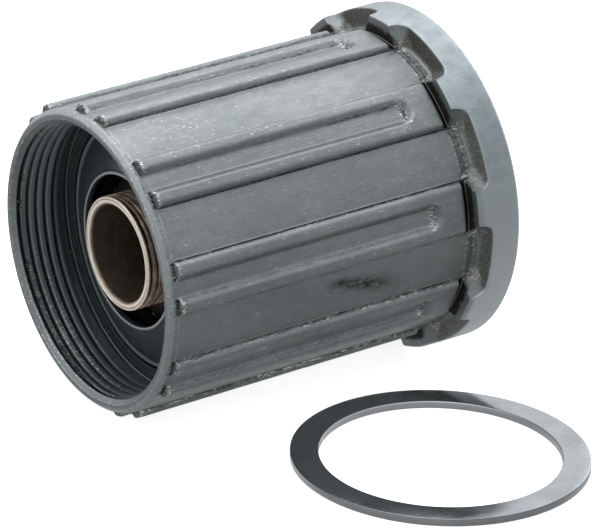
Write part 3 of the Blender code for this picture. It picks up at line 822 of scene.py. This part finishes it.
def shell_material():
    """Worn dark steel with dirty patches, burrs, a stain, painted shade and painted highlights
    where the marks say so.
    """
    n = Nodes("worn_gunmetal")
    broad = n.noise((0.12, 0.12, 0.06), 3.0)
    mottle = n.noise((0.9, 0.9, 0.5), 5.0, 0.6)
    streak = n.noise((5.0, 5.0, 0.14), 4.0, 0.6)
    grain = n.noise((9.0, 9.0, 7.0), 3.0, 0.6)
    scuff = n.noise((3.2, 3.2, 1.3), 6.0, 0.75)
    fibre = n.noise((5.5, 5.5, 1.7), 5.0, 0.7, 0.6)
    tone = n.mix(n.ramp(broad, 0.3, 0.7), (0.215, 0.238, 0.242), (0.262, 0.285, 0.288))
    tone = n.mix(n.ramp(mottle, 0.35, 0.75, 0.0, 0.5), tone, (0.18, 0.20, 0.205))
    tone = n.mix(n.ramp(scuff, 0.54, 0.72, 0.0, 0.6), tone, (0.42, 0.44, 0.445))
    machined = n.mix(n.ramp(mottle, 0.38, 0.66), (0.272, 0.318, 0.332), (0.225, 0.268, 0.285))
    tone = n.mix(n.math("MULTIPLY", n.attribute("flange"), 0.85), tone, machined)
    tone = n.mix(n.attribute("inner"), tone, (0.165, 0.187, 0.195))
    crust = n.math("MULTIPLY", n.attribute("pocket"), n.ramp(fibre, 0.3, 0.6, 1.0, 0.55))
    tone = n.mix(crust, tone, (0.25, 0.242, 0.205))
    # Light steel where worn and where highlights are painted
    tone = n.mix(n.attribute("wear_and_highlight"), tone, (0.56, 0.61, 0.625))
    # Near black where the steel is dirty and where shade is painted
    dirt_and_shade = n.math("MULTIPLY", n.attribute("grime_and_shade"), n.ramp(grain, 0.2, 0.6, 0.8, 1.0))
    crud_and_shadow = n.math("MULTIPLY", n.attribute("crud_and_shadow"), n.ramp(fibre, 0.40, 0.56, 1.0, 0.15))
    dirt_and_shade = n.math("MAXIMUM", dirt_and_shade, n.math("MINIMUM", crud_and_shadow, 1.0))
    black = n.mix(n.attribute("inner"), (0.030, 0.027, 0.022), (0.022, 0.028, 0.031))
    tone = n.mix(dirt_and_shade, tone, black)
    # Light specks on burrs and crests, and painted glints on the thread
    shine = n.math("ADD", fibre, n.math("MULTIPLY", n.attribute("specks_and_glints"), 0.15))
    off_flange = n.math("SUBTRACT", 1.0, n.attribute("flange"))
    speck_and_glint = n.math("MULTIPLY", n.ramp(shine, 0.635, 0.70), off_flange)
    tone = n.mix(speck_and_glint, tone, (0.62, 0.63, 0.615))
    spot = n.math("MULTIPLY", n.attribute("stain"), n.ramp(scuff, 0.41, 0.48))
    haze = n.math("MULTIPLY", n.attribute("stain"), 0.28)
    tone = n.mix(n.math("MAXIMUM", spot, haze), tone, (0.014, 0.012, 0.009))
    rough = n.ramp(mottle, 0.25, 0.75, 0.34, 0.46)
    rough = n.math("ADD", rough, n.math("MULTIPLY", dirt_and_shade, 0.25))
    height = n.math("ADD", n.math("MULTIPLY", grain, 0.5), n.math("MULTIPLY", streak, 0.4))
    height = n.math("ADD", height, n.math("MULTIPLY", scuff, 1.4))
    coarse = n.math("MAXIMUM", n.attribute("specks_and_glints"), n.attribute("crud_and_shadow"))
    coarse = n.math("MAXIMUM", coarse, n.attribute("pocket"))
    height = n.math("ADD", height, n.math("MULTIPLY", n.math("MULTIPLY", fibre, coarse), 2.2))
    n.set(Base_Color=tone, Roughness=rough, Metallic=0.9)
    n.bump(height, 0.55, 0.00007)
    return n.material


def plain_steel(name, color, second, roughness, metallic, bare=None):
    """Steel with a soft change of tone, a fine grain and an uneven polish."""
    n = Nodes(name)
    soft = n.noise((1.2, 1.2, 1.2), 4.0, 0.6)
    grain = n.noise((8.0, 8.0, 8.0), 3.0, 0.6)
    tone = n.mix(n.ramp(soft, 0.3, 0.7), color, second)
    if bare:
        tone = n.mix(n.attribute("wear_and_highlight"), tone, bare)
    rough = n.ramp(grain, 0.25, 0.75, roughness * 0.8, roughness * 1.25)
    n.set(Base_Color=tone, Roughness=rough, Metallic=metallic)
    n.bump(grain, 0.3, 0.00002)
    return n.material


def sleeve_material():
    """Copper-toned steel, near black in the bore, the thread's roots and the rim's groove, with a
    ground, light rim.
    """
    n = Nodes("copper_sleeve")
    soft = n.noise((0.8, 0.8, 1.6), 5.0, 0.65)
    grain = n.noise((7.0, 7.0, 7.0), 3.0, 0.6)
    tone = n.mix(n.ramp(soft, 0.35, 0.65), (0.36, 0.18, 0.12), (0.55, 0.34, 0.26))
    dirt_and_shade = n.math("MULTIPLY", n.attribute("grime_and_shade"), n.ramp(soft, 0.2, 0.6, 0.85, 1.0))
    tone = n.mix(dirt_and_shade, tone, (0.040, 0.032, 0.020))
    tone = n.mix(n.attribute("wear_and_highlight"), tone, (0.87, 0.82, 0.72))
    rough = n.math("ADD", n.ramp(grain, 0.25, 0.75, 0.24, 0.40), n.math("MULTIPLY", dirt_and_shade, 0.3))
    n.set(Base_Color=tone, Roughness=rough, Metallic=0.65)
    n.bump(grain, 0.35, 0.00003)
    return n.material


def washer_material():
    """Polished flat steel with faint scratches and small scuffs, a painted reflection on one side
    of its top and painted shade on its outer bevel.
    """
    n = Nodes("washer_steel")
    mist = n.noise((0.25, 0.25, 0.25), 4.0, 0.6)
    scratch = n.noise((0.35, 4.5, 1.0), 5.0, 0.7, 0.8)
    fleck = n.noise((3.0, 3.0, 3.0), 6.0, 0.8)
    tone = n.mix(n.ramp(mist, 0.3, 0.7), (0.23, 0.25, 0.262), (0.29, 0.31, 0.322))
    # Painted reflection: paler towards one side of the top
    tone = n.mix(n.attribute("painted_sheen"), tone, (0.40, 0.43, 0.44))
    tone = n.mix(n.ramp(fleck, 0.58, 0.7, 0.0, 0.5), tone, (0.22, 0.24, 0.25))
    tone = n.mix(n.attribute("wear_and_highlight"), tone, (0.62, 0.64, 0.65))
    # Painted shade on the outer bevel
    tone = n.mix(n.attribute("grime_and_shade"), tone, (0.11, 0.12, 0.125))
    rough = n.ramp(mist, 0.3, 0.7, 0.13, 0.22)
    rough = n.math("ADD", rough, n.math("MULTIPLY", n.attribute("wear_and_highlight"), 0.3))
    rough = n.math("ADD", rough, n.ramp(scratch, 0.55, 0.7, 0.0, 0.12))
    n.set(Base_Color=tone, Roughness=rough, Metallic=1.0)
    n.bump(n.math("ADD", scratch, fleck), 0.25, 0.00002)
    return n.material


def rubber_material():
    """Matt black rubber, dusty in places."""
    n = Nodes("seal_rubber")
    dust = n.noise((1.2, 1.2, 1.2), 5.0, 0.65)
    tone = n.mix(n.ramp(dust, 0.35, 0.7), (0.018, 0.018, 0.018), (0.05, 0.048, 0.044))
    n.set(Base_Color=tone, Roughness=n.ramp(dust, 0.3, 0.7, 0.55, 0.75))
    n.bump(dust, 0.3, 0.00004)
    return n.material


def cad_steel(name, color, second, roughness, scale=900.0):
    """Steel for a piece kept as it is, with its tone and grain set by its own place."""
    n = Nodes(name)
    place = n.add("ShaderNodeTexCoord").outputs["Object"]
    soft, grain = n.add("ShaderNodeTexNoise"), n.add("ShaderNodeTexNoise")
    for node, size in ((soft, scale), (grain, scale * 6)):
        n.link(place, node.inputs["Vector"])
        node.inputs["Scale"].default_value = size
        node.inputs["Detail"].default_value = 4.0
    tone = n.mix(n.ramp(soft.outputs["Fac"], 0.3, 0.7), color, second)
    rough = n.ramp(grain.outputs["Fac"], 0.3, 0.7, roughness * 0.8, roughness * 1.25)
    n.set(Base_Color=tone, Roughness=rough, Metallic=0.95)
    n.bump(grain.outputs["Fac"], 0.25, 0.00002)
    return n.material


# Inner pieces -------------------------------------------------------------------

# Outlines of the inner pieces, in (u, r)
CAP_RIM_U = 30.42
CAP_HOLE_EDGE_U = 32.42
CAP_PROFILE = [(29.9, 13.45), (CAP_RIM_U, 13.45), (CAP_RIM_U, 13.22), (30.3, 12.98),
               (32.2, 8.82), (CAP_HOLE_EDGE_U, 8.62), (CAP_HOLE_EDGE_U, 8.34), (31.7, 8.34),
               (31.7, 8.58), (31.9, 8.7), (29.9, 12.9)]
SLEEVE_PROFILE = [(33.22, 5.86), (33.27, 6.0), (33.33, SLEEVE_R), (33.5, SLEEVE_R),
                  (SLEEVE_FRONT_U, 6.13), (SLEEVE_FRONT_U, 6.03), (33.5, 5.98), (33.5, 5.9),
                  (SLEEVE_FRONT_U, 5.85), (SLEEVE_FRONT_U, 5.62), (33.56, 5.52), (33.48, 5.4),
                  (33.3, SLEEVE_BORE_R), (20.0, SLEEVE_BORE_R), (-2.3, SLEEVE_BORE_R),
                  (-2.4, 5.4), (-2.4, 7.2), (-2.3, 7.3), (-0.4, 7.3), (-0.3, 7.2), (-0.3, 6.3),
                  (-0.2, SLEEVE_R), (24.0, SLEEVE_R), (27.4, SLEEVE_R)]
SEAL_PROFILE = [(-5.2, 9.62), (-5.25, 9.9), (-5.05, 10.3), (-5.05, 11.6), (-5.2, 12.0),
                (-5.2, 12.26), (-4.65, 12.26), (-4.65, 9.62)]


def make_cap(mat):
    """Dished dust cap with a rolled edge round its hole and a thin outer rim."""
    def bare(u, r):
        hole_edge = bell(u, CAP_HOLE_EDGE_U, 0.05) * 0.75
        return hole_edge + bell(u, CAP_RIM_U, 0.05) * bell(r, 13.3, 0.14) * 0.7

    mesh = turned_mesh("cap_skin", rounded(CAP_PROFILE, 0.08), CAP_POINTS, bare)
    piece("dust_cap_fine", mesh, "shell", "cap_steel", mat, "dust_cap")


def sleeve_marks(local):
    """Darker in the bore, the thread's roots and the rim's groove, and a ground front."""
    r = np.hypot(local[:, 0], local[:, 1])
    u = local[:, 2]
    cloudy = 0.5 + 0.5 * ripple(local, 0.9, 2.0)
    bore = smoothstep((5.42 - r) / 0.1) * smoothstep((33.45 - u) / 0.1)
    roots = smoothstep((6.17 - r) / 0.14) * (r > 5.5) * (u < 33.25)
    ring = bell(r, 5.94, 0.06) * (u > 33.4) * 0.75
    brown = smoothstep((5.64 - r) / 0.08) * (u > 33.3) * (0.55 + 0.5 * cloudy)
    front = smoothstep((u - 33.45) / 0.08) * (0.75 + 0.4 * cloudy)
    crest = 0.45 * smoothstep((cloudy - 0.4) / 0.3) + 0.35 * bell(u, 32.8, 0.25)
    front += (r > 6.15) * (u > 28.0) * (u < 33.3) * crest
    clean = (1 - bore) * (1 - ring) * (1 - 0.8 * brown)
    grime_and_shade = np.maximum.reduce([bore, roots, ring, brown])
    return {"grime_and_shade": np.clip(grime_and_shade, 0, 1), "wear_and_highlight": np.clip(front, 0, 1) * clean}


def make_sleeve(mat):
    """Hollow sleeve with an outside thread on its visible end."""
    skin = Skin()
    angles = np.linspace(0.0, 2 * pi, SLEEVE_POINTS, endpoint=False) + SLEEVE_SEAM
    rings = [skin.ring(angles, r, u) for u, r in SLEEVE_PROFILE]
    skin.strip(rings)
    rows = thread_rows(skin, angles, SLEEVE_THREAD_LOW_U, SLEEVE_THREAD_TURNS,
                       SLEEVE_THREAD_PITCH, SLEEVE_R, SLEEVE_THREAD_ROOT_R, SLEEVE_THREAD_END_U)
    skin.cap_helix(rows, rings[-1], rings[0], skin.helix(rows, len(THREAD_FORM)))
    local = skin.local()
    mesh = finish_mesh("sleeve_skin", local, skin.faces, sleeve_marks(local))
    piece("sleeve_fine", mesh, "core", "sleeve_copper", mat, "axle_sleeve")


def make_seal(mat):
    """Flat rubber ring with a raised lip at its inner edge."""
    mesh = turned_mesh("seal_skin", rounded(SEAL_PROFILE, 0.1), SEAL_POINTS)
    piece("seal_fine", mesh, "core", "seal_rubber", mat, "inboard_seal")


# Heights of a ball's rings, in degrees from its middle
BALL_RISES = (-80, -62, -44, -27, -9, 9, 27, 44, 62, 80)


def make_balls(name, body, row_u, nodes, mat):
    """One row of bearing balls, each a sphere of rings, standing where the nodes stand."""
    skin = Skin()
    around = np.linspace(0.0, 2 * pi, BALL_POINTS, endpoint=False)
    rises = np.radians(BALL_RISES)
    centres = []
    for node in nodes:
        corners = [Vector(c) for c in frame["nodes"][node].bound_box]
        middle = frame["nodes"][node].matrix_world @ (sum(corners, Vector()) / len(corners))
        turn = angle_of(middle)
        centre = (BALL_PITCH_R * cos(turn), BALL_PITCH_R * sin(turn), row_u)
        rings = [skin.ring(around, BALL_R * cos(rise), BALL_R * sin(rise)) for rise in rises]
        centres += [centre] * (len(rises) * len(around))
        skin.strip(rings)
        skin.faces += [rings[0].tolist(), rings[-1][::-1].tolist()]
    mesh = finish_mesh(name + "_skin", skin.local() + np.array(centres), skin.faces)
    piece(name, mesh, body, "ball_steel", mat, *nodes)


# The washer's outline in (z, r), and the way across it along which a painted reflection makes its
# top paler
WASHER_PROFILE = [(0.0, 12.9), (0.08, WASHER_HOLE_R), (0.77, WASHER_HOLE_R),
                  (WASHER_THICKNESS, 12.86), (WASHER_THICKNESS, 14.3), (WASHER_THICKNESS, 15.73),
                  (0.78, WASHER_R), (0.12, WASHER_R), (0.0, 15.66)]
SHEEN_WAY = (-0.82, 0.57)


def make_washer(mat):
    """Thin flat ring with small bevels."""
    skin = Skin()
    angles = np.linspace(0.0, 2 * pi, WASHER_POINTS, endpoint=False)
    rings = [skin.ring(angles, r, z) for z, r in rounded(WASHER_PROFILE, 0.04, 2)]
    skin.strip(rings, closed=True)
    local = skin.local()
    x, y, z = local.T
    r = np.hypot(x, y)
    # Painted reflection: the top turns paler towards one side
    sheen_side = SHEEN_WAY[0] * x + SHEEN_WAY[1] * y
    marks = {"wear_and_highlight": np.maximum(r < 12.82, 0.5 * (r > 15.77)) * (z < 0.8),
             # Painted shade on the top's outer bevel
             "grime_and_shade": (r > 15.71) * (z > 0.75) * 0.85,
             "painted_sheen": smoothstep((5.0 + sheen_side) / 6.0)}
    mesh = finish_mesh("washer_skin", local, skin.faces, marks, on_table)
    piece("washer_fine", mesh, "washer", "washer_steel", mat, "freehub_washer")


def dress(mat, *nodes):
    """Gives CAD nodes that stay visible their material."""
    for node in nodes:
        frame["nodes"][node].material_slots[0].material = mat


# Stage --------------------------------------------------------------------------

CAMERA_PLACE = Vector((-0.28186, -0.40196, 0.22796))
CAMERA_HEADING = radians(55.294)
CAMERA_DIP = radians(23.264)
CAMERA_ROLL = radians(-2.064)
CAMERA_LENS = 304.5
FLOOR_HALF_SIDE = 3.0
FLOOR_GAP = 0.00002

# Each light's place in metres, its two sides and its power in watts
TOP_BOX = ((-0.05, 0.2, 0.8), (1.1, 0.9), 4.0)
RIM_BOX = ((0.75, 0.35, 0.25), (0.5, 0.5), 2.3)

# Brightness of the surroundings from straight below to straight above, and how they
# grow brighter towards one side
SKY_STOPS = ((0.0, 0.25), (0.42, 0.38), (0.58, 0.65), (0.8, 0.87), (1.0, 0.92))
SKY_BLUE = 1.02
BRIGHT_SIDE = (0.60, 0.80, -0.05)
BRIGHT_RANGE = (-0.05, 0.95, 0.95, 1.95)


def make_camera():
    """The camera: its axes are turned by the heading, the dip and the roll."""
    data = bpy.data.cameras.new("camera")
    data.lens = CAMERA_LENS
    data.clip_start = 0.01
    data.clip_end = 20.0
    camera = bpy.data.objects.new("camera", data)
    bpy.context.scene.collection.objects.link(camera)
    heading = Vector((cos(CAMERA_HEADING), sin(CAMERA_HEADING), 0.0))
    forward = heading * cos(CAMERA_DIP) - Vector((0.0, 0.0, sin(CAMERA_DIP)))
    right = forward.cross(Vector((0.0, 0.0, 1.0))).normalized()
    down = forward.cross(right)
    across = right * cos(CAMERA_ROLL) + down * sin(CAMERA_ROLL)
    below = down * cos(CAMERA_ROLL) - right * sin(CAMERA_ROLL)
    turn = Matrix((across, -below, -forward)).transposed()
    camera.matrix_world = Matrix.Translation(CAMERA_PLACE) @ turn.to_4x4()
    bpy.context.scene.camera = camera


def make_floor():
    """Plain pale floor just under the parts, hidden from reflections."""
    bm = bmesh.new()
    bmesh.ops.create_grid(bm, x_segments=1, y_segments=1, size=FLOOR_HALF_SIDE)
    mesh = bpy.data.meshes.new("floor")
    bm.to_mesh(mesh)
    bm.free()
    floor = bpy.data.objects.new("floor", mesh)
    floor.location.z = CAD_BOUNDS[0][2] - FLOOR_GAP
    floor.visible_glossy = False
    bpy.context.scene.collection.objects.link(floor)
    mat = bpy.data.materials.new("floor_paper")
    mat.use_nodes = True
    shader = mat.node_tree.nodes["Principled BSDF"]
    shader.inputs["Base Color"].default_value = (0.93, 0.93, 0.93, 1.0)
    shader.inputs["Roughness"].default_value = 0.9
    shader.inputs["Emission Color"].default_value = (1.0, 1.0, 1.0, 1.0)
    shader.inputs["Emission Strength"].default_value = 0.8
    mesh.materials.append(mat)


def area_light(name, place, size, power):
    """Rectangular light that faces the middle of the resting surface."""
    data = bpy.data.lights.new(name, "AREA")
    data.shape = "RECTANGLE"
    data.size, data.size_y = size
    data.energy = power
    light = bpy.data.objects.new(name, data)
    light.location = place
    light.rotation_euler = (-Vector(place)).to_track_quat("-Z", "Y").to_euler()
    bpy.context.scene.collection.objects.link(light)


def make_world():
    """Pale above, mid grey at the horizon, dim below, and brighter towards one side."""
    world = bpy.data.worlds.new("studio")
    world.use_nodes = True
    nodes, links = world.node_tree.nodes, world.node_tree.links
    direction = nodes.new("ShaderNodeTexCoord").outputs["Generated"]
    split = nodes.new("ShaderNodeSeparateXYZ")
    links.new(direction, split.inputs["Vector"])
    ramp = nodes.new("ShaderNodeValToRGB")
    height = nodes.new("ShaderNodeMapRange")
    height.inputs["From Min"].default_value = -1.0
    links.new(split.outputs["Z"], height.inputs["Value"])
    links.new(height.outputs["Result"], ramp.inputs["Fac"])
    elements = ramp.color_ramp.elements
    for k, (at, value) in enumerate(SKY_STOPS):
        stop = elements[k] if k < len(elements) else elements.new(at)
        stop.position = at
        stop.color = (value, value, value * SKY_BLUE, 1.0)
    links.new(ramp.outputs["Color"], nodes["Background"].inputs["Color"])
    side = nodes.new("ShaderNodeVectorMath")
    side.operation = "DOT_PRODUCT"
    side.inputs[1].default_value = BRIGHT_SIDE
    links.new(direction, side.inputs[0])
    gain = nodes.new("ShaderNodeMapRange")
    gain.interpolation_type = "SMOOTHSTEP"
    for name, number in zip(RANGE_INPUTS, BRIGHT_RANGE):
        gain.inputs[name].default_value = number
    links.new(side.outputs["Value"], gain.inputs["Value"])
    links.new(gain.outputs["Result"], nodes["Background"].inputs["Strength"])
    bpy.context.scene.world = world


bpy.context.scene.view_settings.view_transform = "Standard"
make_camera()
make_floor()
make_world()
area_light("top_box", *TOP_BOX)
area_light("rim_box", *RIM_BOX)
make_shell(shell_material())
make_cap(plain_steel("cap_steel", (0.088, 0.110, 0.120), (0.118, 0.142, 0.155), 0.35, 0.85,
                     bare=(0.5, 0.53, 0.55)))
make_sleeve(sleeve_material())
make_seal(rubber_material())
make_washer(washer_material())
ball_mat = plain_steel("ball_steel", (0.16, 0.155, 0.145), (0.30, 0.295, 0.28), 0.38, 1.0)
for side, row_u in (("outboard", OUTBOARD_ROW_U), ("inboard", INBOARD_ROW_U)):
    row = ["%s_ball_%02d" % (side, k + 1) for k in range(BALL_COUNT)]
    make_balls(side + "_balls_fine", side + "_ball_row", row_u, row, ball_mat)
dress(cad_steel("core_steel", (0.07, 0.07, 0.066), (0.12, 0.118, 0.11), 0.45), "inner_core",
      "bearing_cup")
dress(cad_steel("shim_steel", (0.40, 0.40, 0.38), (0.50, 0.50, 0.48), 0.3), "cup_shim_1",
      "cup_shim_2")
dress(cad_steel("pawl_steel", (0.26, 0.25, 0.23), (0.36, 0.35, 0.33), 0.3, 1500.0), "pawl_1",
      "pawl_2")
dress(cad_steel("spring_steel", (0.38, 0.38, 0.37), (0.50, 0.50, 0.49), 0.25, 1500.0),
      "pawl_spring")
